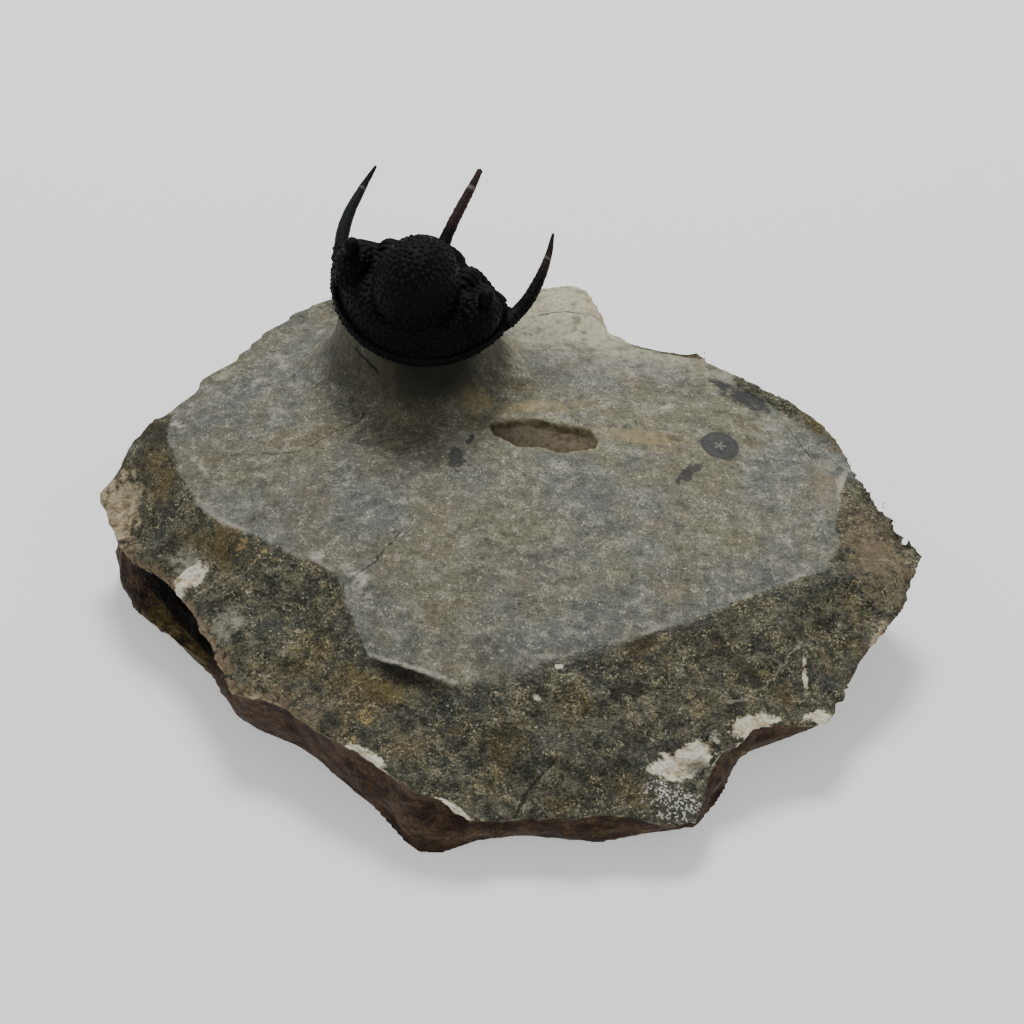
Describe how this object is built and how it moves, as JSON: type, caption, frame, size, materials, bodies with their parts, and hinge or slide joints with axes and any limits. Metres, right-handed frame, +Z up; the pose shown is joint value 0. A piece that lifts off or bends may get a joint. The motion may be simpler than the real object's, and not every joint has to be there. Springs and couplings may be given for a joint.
{
  "type": "trilobite fossil",
  "caption": "Prepared spiny trilobite with a swollen, pimpled head, standing clear of its grey limestone slab on a carved pedestal of the same stone",
  "frame": {"origin": "on the ground, under the middle of the bounding box of the whole specimen", "axes": "+Z up through the smooth top of the slab, +X across its width to the right, -Y to the viewer in front"},
  "size_m": [0.0602, 0.052, 0.0258],
  "materials": {
    "limestone": "matt, abraded smooth on top and freshly broken round the edge",
    "shell": "matt black mineralised shell"
  },
  "bodies": {
    "root": {"matrix": "limestone", "cephalon": "shell", "thorax_segment_01": "shell", "thorax_segment_02": "shell", "thorax_segment_03": "shell", "thorax_segment_04": "shell", "thorax_segment_05": "shell", "thorax_segment_06": "shell", "thorax_segment_07": "shell", "thorax_segment_08": "shell", "thorax_segment_09": "shell", "thorax_segment_10": "shell", "thorax_segment_11": "shell", "thorax_segment_12": "shell", "pygidium": "shell"}
  },
  "joints": []
}
